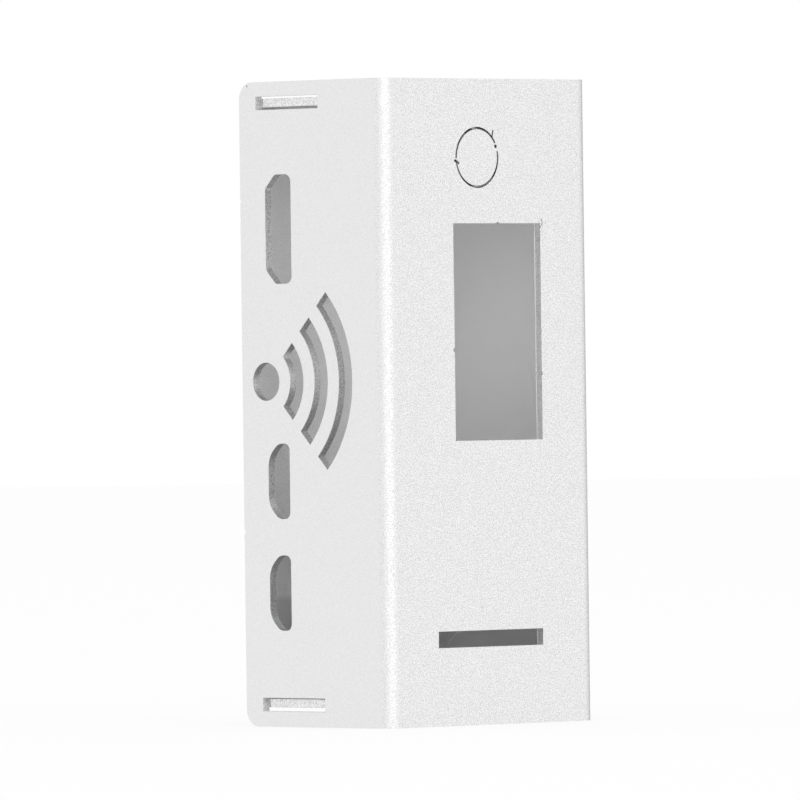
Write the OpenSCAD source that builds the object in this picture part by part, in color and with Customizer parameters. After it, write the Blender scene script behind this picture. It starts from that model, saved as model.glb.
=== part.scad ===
// Aluminium case for a 65 x 30 mm single-board computer with a display board on top of it.
// Two folded sheets snap together: the cover is the front face and both long walls, and the
// base is the back plate and both end plates, which stand a little proud of the cover's free
// edges. The case stands on one short end, +Z up, with the front face towards -Y. Heights are
// measured from the lower end, depths from the front face and widths from the left wall.

/* [Cover] */
// Width across the two long walls
case_w = 33.4; // [33:0.1:36]
// Depth from the front face to the free edges of the long walls
case_d = 23.5; // [23:0.1:30]
// Length of the cover
case_l = 74.1; // [74:0.1:80]
// Radius of the free corners of the long walls
corner_r = 2; // [0.5:0.1:3]

/* [Sheet] */
// Thickness of both sheets
sheet = 1; // [0.8:0.1:1.2]
// Inner radius of every fold
fold_r = 0.7; // [0.5:0.1:1]
// How far the outer skin draws in at the two ends of a fold
fold_draw = 0.2; // [0.05:0.05:0.3]

/* [Display window] */
// Width of the window
window_w = 14; // [10:0.1:16]
// Height of the window
window_h = 24.9; // [20:0.1:26]
// Width position of the window's middle
window_x = 18.25; // [17:0.05:19]
// Height of the window's middle
window_z = 45.05; // [43:0.05:47]

/* [Indicator slot] */
// Width of the slot over the indicator lights
indicator_w = 16.8; // [10:0.1:20]
// Height of the slot
indicator_h = 1.9; // [1.5:0.1:3]
// Width position of the slot's middle
indicator_x = 16.5; // [15:0.1:18]
// Height of the slot's middle
indicator_z = 9.9; // [8:0.1:12]

/* [Knock-out disc] */
// Radius of the disc
disc_r = 3.3; // [3:0.05:4]
// Width position of the disc
disc_x = 15.2; // [14:0.1:17]
// Height of the disc
disc_z = 65.05; // [63:0.05:66]
// Width of the cut line where it is narrowest
kerf = 0.05; // [0.03:0.01:0.2]
// Angle of the middle of the right bridge that still holds the disc
right_bridge = 21; // [0:1:40]
// Angle that the right bridge spans
right_bridge_span = 17; // [5:1:20]
// Angle of the middle of the left bridge
left_bridge = 183.5; // [160:0.5:200]
// Angle that the left bridge spans
left_bridge_span = 3.5; // [2:0.5:10]

/* [Side ports] */
// Height of the middle of the power port
power_z = 15.37; // [15:0.01:16]
// Height of the middle of the data port
data_z = 28.2; // [27.5:0.1:28.5]
// Length of the power port and of the data port
small_port_l = 8.65; // [8:0.05:9]
// Depth of the small ports' nearer edge
small_port_near = 15.8; // [15:0.05:16]
// Height of the middle of the video port
video_z = 57.15; // [56:0.05:58]
// Length of the video port
video_port_l = 12.55; // [12:0.05:13]
// Depth of the video port's nearer edge
video_port_near = 15.1; // [14.5:0.05:15.5]
// Depth of the edge that all three ports share
port_far = 19.35; // [19.2:0.05:19.6]

/* [Signal vent] */
// Radius of the dot
dot_r = 2.2; // [1.5:0.1:2.5]
// Depth of the dot's middle
dot_y = 19.55; // [19:0.05:20]
// Height of the dot's middle
dot_z = 39.65; // [38:0.05:41]
// Number of curved slots
arc_count = 3; // [1:1:3]
// Inner radius of the first curved slot
arc_r = 4; // [3.5:0.1:4.5]
// Distance from one curved slot to the next
arc_pitch = 4.03; // [3.5:0.01:4.1]
// Width of each curved slot
arc_w = 2.2; // [1.5:0.1:2.5]
// Half the angle that the curved slots span
arc_half = 45.5; // [30:0.5:50]

/* [Snap joint] */
// Length of each slot in the long walls
snap_l = 10.3; // [8:0.1:11]
// Height of each slot
snap_h = 1.55; // [1.4:0.05:2]
// Depth of the slots' middle
snap_y = 15.6; // [15:0.1:16]
// Distance from the lower end to the middle of the lower slots
snap_low = 2.55; // [2.2:0.05:3]
// Distance from the upper end to the middle of the upper slots
snap_high = 2.45; // [2.2:0.05:3]
// Length of the tab that sits in each slot
tab_l = 9.5; // [7:0.1:10]
// How far the tab reaches into the slot
tab_reach = 0.4; // [0.2:0.1:0.8]
// Radius of the tab's corners
tab_r = 0.3; // [0:0.1:0.3]

/* [Base] */
// Length over both end plates
base_l = 70; // [69.5:0.1:70.5]
// How far the base has slid towards the upper end in its slots
base_slide = 0.15; // [-0.2:0.05:0.2]
// How far the back plate stands out behind the free edges of the long walls
proud = 0.9; // [0:0.1:1]
// Gap between the back plate and each long wall
seam = 0.03; // [0.02:0.01:0.2]
// Gap between the end plates and the front face
front_gap = 0.2; // [0.1:0.05:0.5]
// Radius of the end plates' front corners
plate_r = 1.2; // [1:0.1:2]

/* [Upper end plate] */
// Radius of the aerial hole
aerial_r = 3.25; // [3:0.05:3.5]
// Depth of the aerial hole's middle
aerial_y = 8; // [7:0.1:9]
// Length of the memory card slot
card_w = 13; // [12:0.1:14]
// Height of the card slot
card_h = 2.4; // [2:0.1:3]
// Distance from the card slot's middle to the port edge of the board
card_from_port_edge = 16.9; // [16:0.1:18]

/* [Board holes] */
// Length of the board
board_l = 65; // [64:0.1:66]
// Width of the board
board_w = 30; // [29:0.1:31]
// Distance from each board edge to its fixing holes
board_inset = 3.5; // [3:0.1:4]
// Radius of the clearance hole for an M2.5 screw
screw_r = 1.375; // [1.3:0.025:1.5]

/* [Hidden] */
$fn = 72;
over = 0.5;
inner_w = case_w - 2 * sheet;
fold_out = fold_r + sheet;
full_d = case_d + proud;
back_y = full_d - sheet;
base_z = (case_l - base_l) / 2 + base_slide;
hole_x = board_w / 2 - board_inset;
hole_z = board_l / 2 - board_inset;
kerf_outwards = [[86, 78, 0.17], [-80, 75, 0.17]];
kerf_inwards = [[145, 50, -0.1], [-45, 55, -0.09]];
right_pierce = [3, 1.28];
right_pierce_w = 0.32;
left_pierce = [[-3.52, -0.38], [-2.98, -0.65]];
left_pierce_w = 0.28;
window_marks = [[0.05 - window_w / 2, -2.05, 0.27], [0.18, window_h / 2 - 0.26, 0.4],
                [window_w / 2, -4.85, 0.17]];
edge_nicks = [[22.4, 0.2], [60.4, 0.16]];

function unit(v) = v / norm(v);

function half_angle(a, p, b) = acos(unit(a - p) * unit(b - p)) / 2;

// Where the arc of radius r at corner p touches the edge towards a
function touch(a, p, b, r) = p + unit(a - p) * r / tan(half_angle(a, p, b));

function arc_middle(a, p, b, r) = p + unit(unit(a - p) + unit(b - p)) * r / sin(half_angle(a, p, b));

// The sector of a circle that rounds corner p, between the edges towards a and b
module rounding(a, p, b, r) {
    m = arc_middle(a, p, b, r);
    intersection() {
        translate(m) circle(r);
        polygon([m, 2 * touch(a, p, b, r) - m, 2 * p - m, 2 * touch(b, p, a, r) - m]);
    }
}

// A convex outline through corners [x, y, radius], with true arcs
module outline(corners) {
    n = len(corners);
    at = [for (c = corners) [c[0], c[1]]];
    polygon([for (i = [0 : n - 1])
        let (a = at[(i + n - 1) % n], p = at[i], b = at[(i + 1) % n], r = corners[i][2])
        each r > 0 ? [touch(a, p, b, r), touch(b, p, a, r)] : [p]]);
    for (i = [0 : n - 1])
        if (corners[i][2] > 0)
            rounding(at[(i + n - 1) % n], at[i], at[(i + 1) % n], corners[i][2]);
}

// A circle that reaches e past radius r in direction a and crosses that radius at half on each side
module bulge(r, a, half, e) {
    shift = (e * e + 2 * r * e) / (2 * (r + e - r * cos(half)));
    translate([shift * cos(a), shift * sin(a)]) circle(r + e - shift);
}

// A straight slot of width w with round ends at a and b
module round_slot(a, b, w) {
    side = [a[1] - b[1], b[0] - a[0]] / norm(b - a) * w / 2;
    polygon([a + side, b + side, b - side, a - side]);
    for (p = [a, b])
        translate(p) circle(w / 2);
}

// A sector of a disc, from angle a to angle b
module sector(r, a, b) {
    far = r / cos((b - a) / 4);
    polygon([[0, 0], for (i = [0 : 2]) let (t = a + (b - a) * i / 2) [far * cos(t), far * sin(t)]]);
}

// A cut of a drawing in width and height, through the front face
module through_front(x, z) {
    translate([x, sheet + over, z]) rotate([90, 0, 0]) linear_extrude(sheet + 2 * over) children();
}

// A cut of a drawing in depth and height, through the left wall
module through_left(y, z) {
    translate([-over, y, z]) rotate([90, 0, 90]) linear_extrude(sheet + 2 * over) children();
}

// A cut of a drawing in depth and height, through both long walls
module through_walls(y, z) {
    translate([-over, y, z]) rotate([90, 0, 90]) linear_extrude(case_w + 2 * over) children();
}

// The folded section of a channel, open along its far edge
module channel(w, d) {
    difference() {
        outline([[0, d, 0], [0, 0, fold_out], [w, 0, fold_out], [w, d, 0]]);
        outline([[sheet, d + over, 0], [sheet, sheet, fold_r],
                 [w - sheet, sheet, fold_r], [w - sheet, d + over, 0]]);
    }
}

// The outline that trims both long walls, seen from the side
module wall_outline() {
    outline([[-over, 0, 0], [case_d, 0, corner_r], [case_d, case_l, corner_r], [-over, case_l, 0]]);
}

// A wedge that draws in the outer skin at one end of a fold, rising inwards from z = 0
module fold_end() {
    start = fold_out * cos(45);
    slope = atan(fold_draw / (fold_out - start));
    rotate([0, 0, 45]) translate([-start, 0, 0]) rotate([0, -slope, 0])
        translate([-fold_out, -fold_out, -fold_out]) cube([fold_out, 2 * fold_out, fold_out]);
}

module fold_ends() {
    for (side = [0, 1], end = [0, 1])
        translate([side * case_w, 0, end * case_l]) mirror([side, 0, 0]) mirror([0, 0, end])
            translate([fold_out, fold_out, 0]) fold_end();
}

// The disc inside the cut line, flattened a little where the line widens inwards
module disc() {
    intersection() {
        circle(disc_r);
        bulge(disc_r, kerf_inwards[0][0], kerf_inwards[0][1], kerf_inwards[0][2]);
        bulge(disc_r, kerf_inwards[1][0], kerf_inwards[1][1], kerf_inwards[1][2]);
    }
}

// The cut line round the knock-out disc, broken by two bridges, and its two pierce marks
module disc_kerf() {
    difference() {
        union() {
            circle(disc_r + kerf);
            for (b = kerf_outwards)
                bulge(disc_r + kerf, b[0], b[1], b[2]);
        }
        disc();
        for (b = [[right_bridge, right_bridge_span], [left_bridge, left_bridge_span]])
            sector(2 * disc_r, b[0] - b[1] / 2, b[0] + b[1] / 2);
    }
    translate(right_pierce) circle(right_pierce_w / 2);
    round_slot(left_pierce[0], left_pierce[1], left_pierce_w);
}

module display_window() {
    square([window_w, window_h], center = true);
    for (p = window_marks)
        translate([p[0], p[1]]) circle(p[2]);
}

// A port with two tight corners near the front and two bevelled ones at the board, blended with
// radius end_r at the port's ends and far_r at its far edge
module port(length, near, bevel_y, bevel_z, tight_r, end_r, far_r) {
    half = length / 2;
    outline([[near, -half, tight_r], [port_far - bevel_y, -half, end_r],
             [port_far, bevel_z - half, far_r], [port_far, half - bevel_z, far_r],
             [port_far - bevel_y, half, end_r], [near, half, tight_r]]);
}

module small_port() {
    port(small_port_l, small_port_near, 1.65, 1.55, 0.8, 1.5, 2.7);
}

module video_port() {
    port(video_port_l, video_port_near, 1.6, 1.6, 0.9, 0.7, 0.7);
}

// A dot with curved slots around it, opening towards the front face
module signal_vent() {
    circle(dot_r);
    for (i = [0 : arc_count - 1])
        intersection() {
            difference() {
                circle(arc_r + i * arc_pitch + arc_w);
                circle(arc_r + i * arc_pitch);
            }
            sector(arc_r + i * arc_pitch + 2 * arc_w, 180 - arc_half, 180 + arc_half);
        }
}

// The front face and both long walls, folded from one sheet
module cover() {
    color("gainsboro") translate([-case_w / 2, -full_d / 2, 0])
        difference() {
            intersection() {
                translate([0, 0, -over]) linear_extrude(case_l + 2 * over) channel(case_w, case_d + over);
                through_walls(0, 0) wall_outline();
            }
            fold_ends();
            through_front(window_x, window_z) display_window();
            through_front(indicator_x, indicator_z) square([indicator_w, indicator_h], center = true);
            through_front(disc_x, disc_z) disc_kerf();
            through_left(0, power_z) small_port();
            through_left(0, data_z) small_port();
            through_left(0, video_z) video_port();
            through_left(dot_y, dot_z) signal_vent();
            for (z = [snap_low, case_l - snap_high])
                through_walls(snap_y, z) square([snap_l, snap_h], center = true);
            for (nick = edge_nicks)
                through_left(case_d, nick[0]) circle(nick[1]);
        }
}

// One end plate seen along the case, with a tab on each side
module end_plate_outline() {
    start = back_y - fold_r;
    tab_x = [sheet - tab_reach, case_w - sheet + tab_reach];
    tab_y = [snap_y - tab_l / 2, snap_y + tab_l / 2];
    outline([[sheet, start, 0], [sheet, sheet + front_gap, plate_r],
             [case_w - sheet, sheet + front_gap, plate_r], [case_w - sheet, start, 0]]);
    outline([[tab_x[0], tab_y[0], tab_r], [tab_x[1], tab_y[0], tab_r],
             [tab_x[1], tab_y[1], tab_r], [tab_x[0], tab_y[1], tab_r]]);
}

// Openings of the upper end plate: the aerial hole and the memory card slot
module upper_openings() {
    card_x = case_w / 2 - board_w / 2 + card_from_port_edge;
    card_y = port_far - card_h / 2;
    translate([disc_x, aerial_y]) circle(aerial_r);
    translate([card_x, card_y]) square([card_w, card_h], center = true);
}

// The folded section of the base, seen from the side: depth across and height up
module base_section() {
    difference() {
        outline([[back_y - fold_r, 0, 0], [full_d, 0, fold_out],
                 [full_d, base_l, fold_out], [back_y - fold_r, base_l, 0]]);
        outline([[back_y - fold_out, sheet, 0], [back_y, sheet, fold_r],
                 [back_y, base_l - sheet, fold_r], [back_y - fold_out, base_l - sheet, 0]]);
    }
}

// The back plate and both end plates, folded from one sheet
module base() {
    color("silver") translate([-case_w / 2, -full_d / 2, base_z])
        difference() {
            union() {
                translate([sheet + seam, 0, 0]) rotate([90, 0, 90])
                    linear_extrude(inner_w - 2 * seam) base_section();
                linear_extrude(sheet) end_plate_outline();
                translate([0, 0, base_l - sheet]) linear_extrude(sheet)
                    difference() {
                        end_plate_outline();
                        upper_openings();
                    }
            }
            for (x = [-hole_x, hole_x], z = [-hole_z, hole_z])
                translate([case_w / 2 + x, full_d + over, case_l / 2 + z - base_z]) rotate([90, 0, 0])
                    cylinder(r = screw_r, h = sheet + 2 * over);
        }
}

cover();
base();
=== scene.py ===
# Studio scene of an aluminium case for a small computer board, standing on a short end.
import math

import bpy
from mathutils import Matrix, Vector


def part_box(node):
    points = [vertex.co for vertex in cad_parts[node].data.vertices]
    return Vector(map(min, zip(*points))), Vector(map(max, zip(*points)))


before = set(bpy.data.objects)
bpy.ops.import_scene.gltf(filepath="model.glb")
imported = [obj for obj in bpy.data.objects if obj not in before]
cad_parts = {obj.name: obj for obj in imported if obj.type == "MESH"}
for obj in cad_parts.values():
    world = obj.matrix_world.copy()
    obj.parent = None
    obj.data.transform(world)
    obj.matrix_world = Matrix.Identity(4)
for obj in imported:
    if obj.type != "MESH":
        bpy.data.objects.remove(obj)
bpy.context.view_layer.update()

MM = 0.001

# Camera: the point that it looks at, its distance, and its direction from the object in degrees
AIM = Vector((-1.411, 1.07, 37.338)) * MM
CAMERA_DISTANCE = 1385 * MM
CAMERA_AZIMUTH = -44.127
CAMERA_ELEVATION = 0.1426
CAMERA_ROLL = 0.745
CAMERA_REACH = 10.0
# Sensor width and focal length, in mm as the camera takes them
SENSOR_WIDTH = 36
LENS = 539.97

# Floor and world: 1 renders white
WHITE = 1.0
FLOOR_RADIUS = 3.0
FLOOR_SIDES = 96
FLOOR_COLOUR = (0.92, 0.92, 0.92, 1)
# Share of the floor that camera and mirror rays see as plain white; the rest shows the shadow
FLOOR_GLOW = 0.78
FLOOR_DROP = 0.02 * MM

# Lamps: name, azimuth in degrees, width in metres, and radiance, where 1 is as bright as white
LAMPS = (("key", -18, 2.3, 0.8), ("fill", -136, 2.4, 0.09))
LAMP_ELEVATION = 8
LAMP_DISTANCE = 1.8
LAMP_HEIGHT = 1.6

# Shape of the folded sheets, as far as the finish depends on it
SHEET = 1 * MM
FOLD_RADIUS = 1.7 * MM
WELD_DISTANCE = 0.001 * MM
# Faces within this angle of each other, in degrees, are joined into one
FLAT_ANGLE = 0.2
# Depths in the sheet: where the outer skin ends, and where the inner finish starts, first at the front
# face and then at the long walls. The cut edges lie between, and the pale inner finish reaches a little
# onto their inner rim as a painted highlight.
SKIN = 0.03 * MM
INNER_EDGE = 0.85 * MM
WALL_EDGE = 0.97 * MM
# The snap slots lie within this distance of both ends
SNAP_ZONE = 4 * MM

# Outer faces: mean tone, and how far the fine grain moves it on the front and on the walls
OUTER_TONE = 0.834
OUTER_ROUGH = 0.5
GRAIN = 0.14 * MM
GRAIN_DETAIL = 2
GRAIN_SPREAD = (0.25, 0.75)
GRAIN_DEPTH = 0.004 * MM
FRONT_GRAIN = 0.5
WALL_GRAIN = 0.12
# Share of the tone that is left in the middle of a bend: painted shade that tones down the highlight on
# the bend
BEND_PAINTED_SHADE = 0.94
# Tint of the metal at grazing angles
EDGE_TINT = (0.12, 0.12, 0.12, 1)

# Inner faces: speckle, darker and paler tone, tone share low down, and relief of the speckle
INNER_METAL = 0.1
INNER_ROUGH = 0.7
SPECKLE = 0.16 * MM
SPECKLE_DETAIL = 3
# Part of the speckle noise over which the inner faces run from their darker to their paler tone
FLECKS = (0.38, 0.5)
COVER_INNER = (0.98, 1.0)
COVER_PAINTED_SHADE = 0.96
COVER_SPECKLE = 0.02 * MM
BASE_INNER = (0.84, 1.0)
BASE_PAINTED_SHADE = 1.0
BASE_SPECKLE = 0.04 * MM
# Painted shade darkens the inside below one height; below another it is smooth, with a darker painted
# shadow
PAINTED_SHADE_BELOW = 45 * MM
PAINTED_SHADE_DEPTH = 9 * MM
SMOOTH_SHADOW_BELOW = 15.1 * MM
SMOOTH_SHADOW_FADE = 0.8 * MM
PAINTED_SHADOW_TONE = 0.76

# Cut edges: darker and paler tone, the part of the noise between them, and metal share at the snaps
CUT_SPREAD = (0.4, 0.6)
WALL_CUT = (0.58, 0.9)
SNAP_CUT = (0.68, 0.95)
FRONT_CUT = (0.8, 1.0)
COVER_SNAP_METAL = 0.55
BASE_SNAP_METAL = 0.95

# Scorch along the cut line of the knock-out disc: its inner and outer radius and its tone
DISC_MIDDLE = Vector((-1.5, 0, 65.05)) * MM
SCORCH = (3.22 * MM, 3.46 * MM)
SCORCH_TONE = 0.27
# The disc's two bridges, which stay clean: their angle and half their length
BRIDGES = ((21, 0.5 * MM), (183.5, 0.12 * MM))

# Small marks on the cover, the last of them a painted streak of light: their points on its surface in
# mm, their width in mm and their tone
MARKS_AND_LIGHT_STREAK = (
    (((0.97, -12.2, 67.47), (1.11, -12.2, 68.11)), 0.2, 0.08),
    (((8.55, -12.2, 57.05), (8.86, -12.2, 57.34), (8.9, -12.2, 57.78), (8.68, -12.2, 57.97)), 0.13, 0.3),
    (((8.55, -12.2, 57.42), (8.33, -12.2, 57.75)), 0.1, 0.6),
    (((-1.5, -12.2, 13.5), (-1.5, -12.2, 13.55)), 0.3, 0.7),
    (((-16.7, 9.9, 73.6), (-16.7, 10.0, 73.7)), 0.12, 0.15),
    (((1.5, -12.2, 66.33), (1.5, -12.2, 66.34)), 0.42, 0.05),
    (((-5.02, -12.2, 64.67), (-4.48, -12.2, 64.4)), 0.34, 0.4),
    # Painted streak of light on the right wall's inner face, low behind the indicator slot
    (((15.7, 11.2, 8.77), (15.7, 10.53, 9.28), (15.7, 10.15, 9.69), (15.7, 9.46, 10.03),
      (15.7, 9.09, 10.1)), 0.14, 1.0),
)


def direction(azimuth, elevation):
    """From the object outwards; azimuth 0 is out of the front face, 90 out of the right wall."""
    a = math.radians(azimuth)
    e = math.radians(elevation)
    return Vector((math.sin(a) * math.cos(e), -math.cos(a) * math.cos(e), math.sin(e)))


def looking_at(back, roll=0.0):
    """Rotation of a camera or lamp whose back points along the given direction."""
    right = Vector((0, 0, 1)).cross(back).normalized()
    up = back.cross(right)
    turn = math.radians(roll)
    rolled_right = right * math.cos(turn) - up * math.sin(turn)
    rolled_up = up * math.cos(turn) + right * math.sin(turn)
    return Matrix((rolled_right, rolled_up, back)).transposed().to_4x4()


def make_camera():
    data = bpy.data.cameras.new("camera")
    data.sensor_width = SENSOR_WIDTH
    data.lens = LENS
    data.clip_end = CAMERA_REACH
    camera = bpy.data.objects.new("camera", data)
    bpy.context.scene.collection.objects.link(camera)
    back = direction(CAMERA_AZIMUTH, CAMERA_ELEVATION)
    place = Matrix.Translation(AIM + back * CAMERA_DISTANCE)
    camera.matrix_world = place @ looking_at(back, CAMERA_ROLL)
    bpy.context.scene.camera = camera


def softbox(name, azimuth, width, radiance):
    """An area lamp aimed at the middle of the case; radiance 1 is as bright as white."""
    data = bpy.data.lights.new(name, "AREA")
    data.shape = "RECTANGLE"
    data.size = width
    data.size_y = LAMP_HEIGHT
    data.energy = radiance * math.pi * width * LAMP_HEIGHT
    lamp = bpy.data.objects.new(name, data)
    bpy.context.scene.collection.objects.link(lamp)
    back = direction(azimuth, LAMP_ELEVATION)
    lamp.matrix_world = Matrix.Translation(AIM + back * LAMP_DISTANCE) @ looking_at(back)
    lamp.visible_camera = False


def math_node(nodes, links, operation, *values):
    """A Math node; each value is a number or another node's output."""
    node = nodes.new("ShaderNodeMath")
    node.operation = operation
    for socket, value in zip(node.inputs, values):
        if isinstance(value, (int, float)):
            socket.default_value = value
        else:
            links.new(value, socket)
    return node.outputs[0]


def seen_directly(nodes, links):
    """1 for camera, glossy and transmission rays, so that metal shows the white floor too."""
    path = nodes.new("ShaderNodeLightPath")
    direct = math_node(nodes, links, "MAXIMUM", path.outputs["Is Camera Ray"],
                       path.outputs["Is Glossy Ray"])
    return math_node(nodes, links, "MAXIMUM", direct, path.outputs["Is Transmission Ray"])


def make_world():
    world = bpy.data.worlds.new("studio")
    world.use_nodes = True
    bpy.context.scene.world = world
    background = world.node_tree.nodes["Background"]
    background.inputs["Color"].default_value = (1, 1, 1, 1)
    background.inputs["Strength"].default_value = WHITE


def make_floor():
    material = bpy.data.materials.new("floor")
    material.use_nodes = True
    nodes = material.node_tree.nodes
    links = material.node_tree.links
    nodes.clear()
    diffuse = nodes.new("ShaderNodeBsdfDiffuse")
    diffuse.inputs["Color"].default_value = FLOOR_COLOUR
    glow = nodes.new("ShaderNodeEmission")
    glow.inputs["Strength"].default_value = WHITE
    share = math_node(nodes, links, "MULTIPLY", seen_directly(nodes, links), FLOOR_GLOW)
    mix = nodes.new("ShaderNodeMixShader")
    links.new(share, mix.inputs["Fac"])
    links.new(diffuse.outputs[0], mix.inputs[1])
    links.new(glow.outputs[0], mix.inputs[2])
    output = nodes.new("ShaderNodeOutputMaterial")
    links.new(mix.outputs[0], output.inputs["Surface"])

    bpy.ops.mesh.primitive_circle_add(
        vertices=FLOOR_SIDES, radius=FLOOR_RADIUS, fill_type="NGON", location=(0, 0, -FLOOR_DROP))
    floor = bpy.context.object
    floor.name = "floor"
    floor.data.materials.append(material)


def noise(nodes, links, place, cell, detail):
    texture = nodes.new("ShaderNodeTexNoise")
    texture.inputs["Scale"].default_value = 1 / cell
    texture.inputs["Detail"].default_value = detail
    links.new(place, texture.inputs["Vector"])
    return texture.outputs["Fac"]


def within(nodes, links, value, low, high):
    """1 where the value lies between low and high, else 0."""
    above = math_node(nodes, links, "GREATER_THAN", value, low)
    below = math_node(nodes, links, "LESS_THAN", value, high)
    return math_node(nodes, links, "MULTIPLY", above, below)


def ramp(nodes, links, value, low, high, start=0.0, end=1.0):
    """Runs from start to end while the value runs from low to high."""
    node = nodes.new("ShaderNodeMapRange")
    node.inputs["From Min"].default_value = low
    node.inputs["From Max"].default_value = high
    for socket, limit in (("To Min", start), ("To Max", end)):
        if isinstance(limit, (int, float)):
            node.inputs[socket].default_value = limit
        else:
            links.new(limit, node.inputs[socket])
    links.new(value, node.inputs["Value"])
    return node.outputs["Result"]


def vector_node(nodes, links, operation, *values):
    """A Vector Math node; each value is a vector or another node's output."""
    node = nodes.new("ShaderNodeVectorMath")
    node.operation = operation
    for socket, value in zip(node.inputs, values):
        if isinstance(value, Vector):
            socket.default_value = value
        else:
            links.new(value, socket)
    return node.outputs["Value" if operation in ("DOT_PRODUCT", "DISTANCE") else "Vector"]


def stroke_mask(nodes, links, place, points, width):
    """1 along the line through the points, else 0."""
    mask = 0.0
    for start, end in zip(points, points[1:]):
        start = Vector(start) * MM
        run = Vector(end) * MM - start
        offset = vector_node(nodes, links, "SUBTRACT", place, start)
        share = vector_node(nodes, links, "DOT_PRODUCT", offset, run / run.length_squared)
        share = math_node(nodes, links, "MINIMUM", math_node(nodes, links, "MAXIMUM", share, 0), 1)
        gap = vector_node(nodes, links, "DISTANCE", offset,
                          vector_node(nodes, links, "MULTIPLY", run, share))
        near = math_node(nodes, links, "LESS_THAN", gap, width * MM / 2)
        mask = math_node(nodes, links, "MAXIMUM", mask, near)
    return mask


def scorch_mask(nodes, links, place):
    """1 on the front sheet along the disc's cut line, apart from its bridges, else 0."""
    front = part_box("cover")[0].y
    axes = nodes.new("ShaderNodeSeparateXYZ")
    links.new(place, axes.inputs[0])
    mask = within(nodes, links, axes.outputs[1], front - SKIN, front + SHEET)
    flat = vector_node(nodes, links, "MULTIPLY", place, Vector((1, 0, 1)))
    gap = vector_node(nodes, links, "DISTANCE", flat, DISC_MIDDLE)
    mask = math_node(nodes, links, "MULTIPLY", mask, within(nodes, links, gap, *SCORCH))
    for angle, half in BRIDGES:
        turn = math.radians(angle)
        arm = Vector((math.cos(turn), 0, math.sin(turn))) * sum(SCORCH) / 2
        gap = vector_node(nodes, links, "DISTANCE", flat, DISC_MIDDLE + arm)
        mask = math_node(nodes, links, "MULTIPLY", mask,
                         math_node(nodes, links, "GREATER_THAN", gap, half))
    return mask


def surface_masks(nodes, links, place):
    """Masks of the inner faces, the cut edges of the walls, snap slots and front, the painted shade on
    the bends, the smooth low zone and its painted shadow, and how far a point lies above the painted
    shade and behind the front face."""
    low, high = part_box("cover")
    base_low, base_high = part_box("base")
    axes = nodes.new("ShaderNodeSeparateXYZ")
    links.new(place, axes.inputs[0])
    x, y, z = axes.outputs
    beside = math_node(nodes, links, "ABSOLUTE", x)

    # The inner finish starts a little short of the inner faces, so its pale tone is a painted highlight
    # along the inner rim of the cut edges
    inner = within(nodes, links, y, low.y + INNER_EDGE, base_high.y - INNER_EDGE)
    inner = math_node(nodes, links, "MULTIPLY", inner,
                      math_node(nodes, links, "LESS_THAN", beside, high.x - WALL_EDGE))
    inner = math_node(nodes, links, "MULTIPLY", inner,
                      within(nodes, links, z, base_low.z + INNER_EDGE, base_high.z - INNER_EDGE))

    wall_cut = within(nodes, links, beside, high.x - WALL_EDGE, high.x - SKIN)
    wall_cut = math_node(nodes, links, "MULTIPLY", wall_cut,
                         math_node(nodes, links, "GREATER_THAN", y, low.y + FOLD_RADIUS))
    middle = within(nodes, links, z, SNAP_ZONE, high.z - SNAP_ZONE)
    snap_cut = math_node(nodes, links, "MULTIPLY", wall_cut,
                         math_node(nodes, links, "SUBTRACT", 1, middle))
    wall_cut = math_node(nodes, links, "MULTIPLY", wall_cut, middle)
    front_cut = within(nodes, links, y, low.y + SKIN, low.y + INNER_EDGE)
    front_cut = math_node(nodes, links, "MULTIPLY", front_cut,
                          math_node(nodes, links, "LESS_THAN", beside, high.x - FOLD_RADIUS))
    # Smooth low zone: no speckle relief there, and a darker tone that is painted shadow
    smooth_and_shadow = ramp(nodes, links, z, SMOOTH_SHADOW_BELOW - SMOOTH_SHADOW_FADE, SMOOTH_SHADOW_BELOW, 1, 0)
    # The painted shade inside fades out upwards over this height range
    height = ramp(nodes, links, z, PAINTED_SHADE_BELOW - PAINTED_SHADE_DEPTH, PAINTED_SHADE_BELOW)
    depth = ramp(nodes, links, y, low.y, low.y + FOLD_RADIUS)
    # The bends get painted shade, strongest in their middle
    # Sine times cosine of the angle round the bend, doubled, is 1 in its middle and 0 at its ends
    across = ramp(nodes, links, beside, high.x - FOLD_RADIUS, high.x)
    bend_shade_mask = math_node(nodes, links, "MULTIPLY", across,
                     ramp(nodes, links, y, low.y, low.y + FOLD_RADIUS, 1, 0))
    bend_shade_mask = math_node(nodes, links, "MULTIPLY", bend_shade_mask, 2)
    return inner, wall_cut, snap_cut, front_cut, bend_shade_mask, smooth_and_shadow, height, depth


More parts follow.
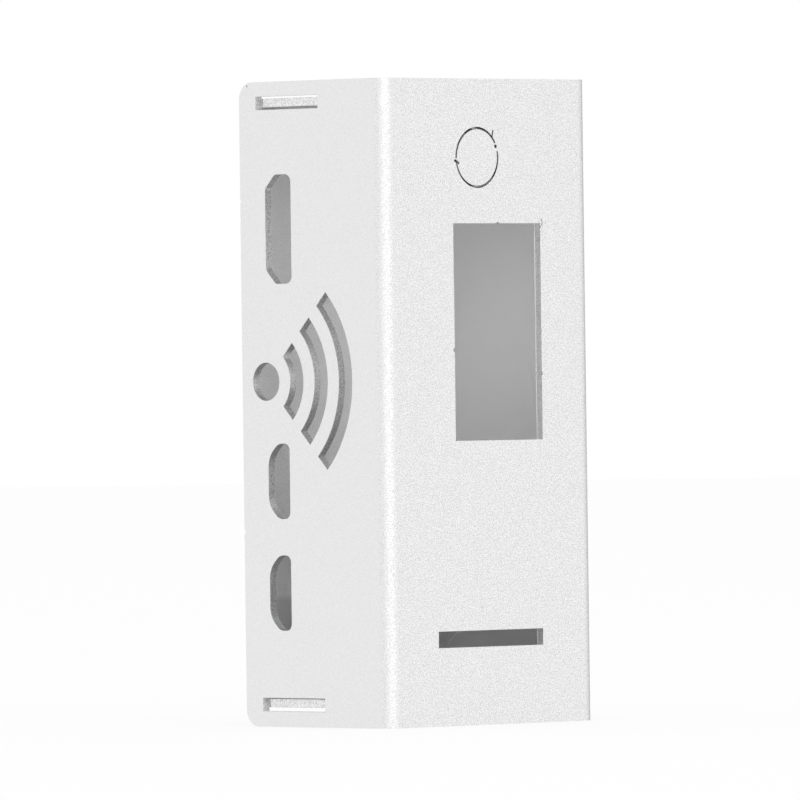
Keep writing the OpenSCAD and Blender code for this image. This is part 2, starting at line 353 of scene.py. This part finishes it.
def blasted_aluminium(name, inner_range, painted_shade_tone, speckle, snap_metal, marks_and_light_streak):
    """Blasted sheet: even satin outside, flecked inside, darker on its cut edges but for a painted
    highlight on their inner rim, with painted shade low inside and on the bends, a painted shadow lowest
    down, and on the cover a painted streak of light among its marks.
    """
    material = bpy.data.materials.new(name)
    material.use_nodes = True
    nodes = material.node_tree.nodes
    links = material.node_tree.links
    shader = nodes["Principled BSDF"]
    shader.inputs["Specular Tint"].default_value = EDGE_TINT
    place = nodes.new("ShaderNodeTexCoord").outputs["Object"]
    masks = surface_masks(nodes, links, place)
    inner, wall_cut, snap_cut, front_cut, bend_shade_mask, smooth_and_shadow, height, depth = masks
    fine = noise(nodes, links, place, GRAIN, GRAIN_DETAIL)
    coarse = noise(nodes, links, place, SPECKLE, SPECKLE_DETAIL)

    grain = ramp(nodes, links, depth, 0, 1, FRONT_GRAIN, WALL_GRAIN)
    swing = ramp(nodes, links, fine, *GRAIN_SPREAD, -0.5, 0.5)
    grain = math_node(nodes, links, "MULTIPLY", grain, swing)
    outer_tone = math_node(nodes, links, "ADD", grain, OUTER_TONE)
    # Painted shade in the middle of each bend
    bend_shade_tone = ramp(nodes, links, bend_shade_mask, 0, 1, 1, BEND_PAINTED_SHADE)
    outer_tone = math_node(nodes, links, "MULTIPLY", outer_tone, bend_shade_tone)
    inner_tone = ramp(nodes, links, coarse, *FLECKS, *inner_range)
    # Painted shade: the inner tone is darker low down
    painted_shade = ramp(nodes, links, height, 0, 1, painted_shade_tone, 1)
    inner_tone = math_node(nodes, links, "MULTIPLY", inner_tone, painted_shade)
    # Painted shadow: a darker tone in the smooth low zone
    inner_tone = ramp(nodes, links, smooth_and_shadow, 0, 1, inner_tone, PAINTED_SHADOW_TONE)
    tone = ramp(nodes, links, inner, 0, 1, outer_tone, inner_tone)
    for cut, limits in ((wall_cut, WALL_CUT), (snap_cut, SNAP_CUT), (front_cut, FRONT_CUT)):
        cut_tone = ramp(nodes, links, coarse, *CUT_SPREAD, *limits)
        tone = ramp(nodes, links, cut, 0, 1, tone, cut_tone)
    # Only the cover has marks, among them a painted streak of light, and the disc with its scorch
    if marks_and_light_streak:
        scorched = scorch_mask(nodes, links, place)
        tone = ramp(nodes, links, scorched, 0, 1, tone, SCORCH_TONE)
    for points, width, stroke_tone in marks_and_light_streak:
        stroke = stroke_mask(nodes, links, place, points, width)
        tone = ramp(nodes, links, stroke, 0, 1, tone, stroke_tone)
    links.new(tone, shader.inputs["Base Color"])
    metal = ramp(nodes, links, inner, 0, 1, 1, INNER_METAL)
    links.new(ramp(nodes, links, snap_cut, 0, 1, metal, snap_metal), shader.inputs["Metallic"])
    links.new(ramp(nodes, links, inner, 0, 1, OUTER_ROUGH, INNER_ROUGH), shader.inputs["Roughness"])
    bump = nodes.new("ShaderNodeBump")
    bump.inputs["Strength"].default_value = 1
    bump.inputs["Distance"].default_value = 1
    coarse_relief = math_node(nodes, links, "MULTIPLY", coarse,
                              ramp(nodes, links, smooth_and_shadow, 0, 1, speckle, 0))
    coarse_relief = math_node(nodes, links, "MULTIPLY", coarse_relief,
                              math_node(nodes, links, "MAXIMUM", inner, wall_cut))
    fine_relief = math_node(nodes, links, "MULTIPLY", fine, GRAIN_DEPTH)
    relief = math_node(nodes, links, "ADD", coarse_relief, fine_relief)
    links.new(relief, bump.inputs["Height"])
    links.new(bump.outputs["Normal"], shader.inputs["Normal"])
    return material


def finish_node(node, material):
    """Joins a CAD piece's faces along their edges and gives it its material."""
    node.data.materials.clear()
    node.data.materials.append(material)
    weld = node.modifiers.new("weld", "WELD")
    weld.merge_threshold = WELD_DISTANCE
    flat = node.modifiers.new("flat", "DECIMATE")
    flat.decimate_type = "DISSOLVE"
    flat.angle_limit = math.radians(FLAT_ANGLE)


make_camera()
make_world()
make_floor()
for lamp in LAMPS:
    softbox(*lamp)

cover_sheet = blasted_aluminium("cover_sheet", COVER_INNER, COVER_PAINTED_SHADE, COVER_SPECKLE,
                                COVER_SNAP_METAL, MARKS_AND_LIGHT_STREAK)
base_sheet = blasted_aluminium("base_sheet", BASE_INNER, BASE_PAINTED_SHADE, BASE_SPECKLE,
                               BASE_SNAP_METAL, ())
finish_node(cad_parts["cover"], cover_sheet)
finish_node(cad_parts["base"], base_sheet)

scene = bpy.context.scene
scene.view_settings.view_transform = "Standard"
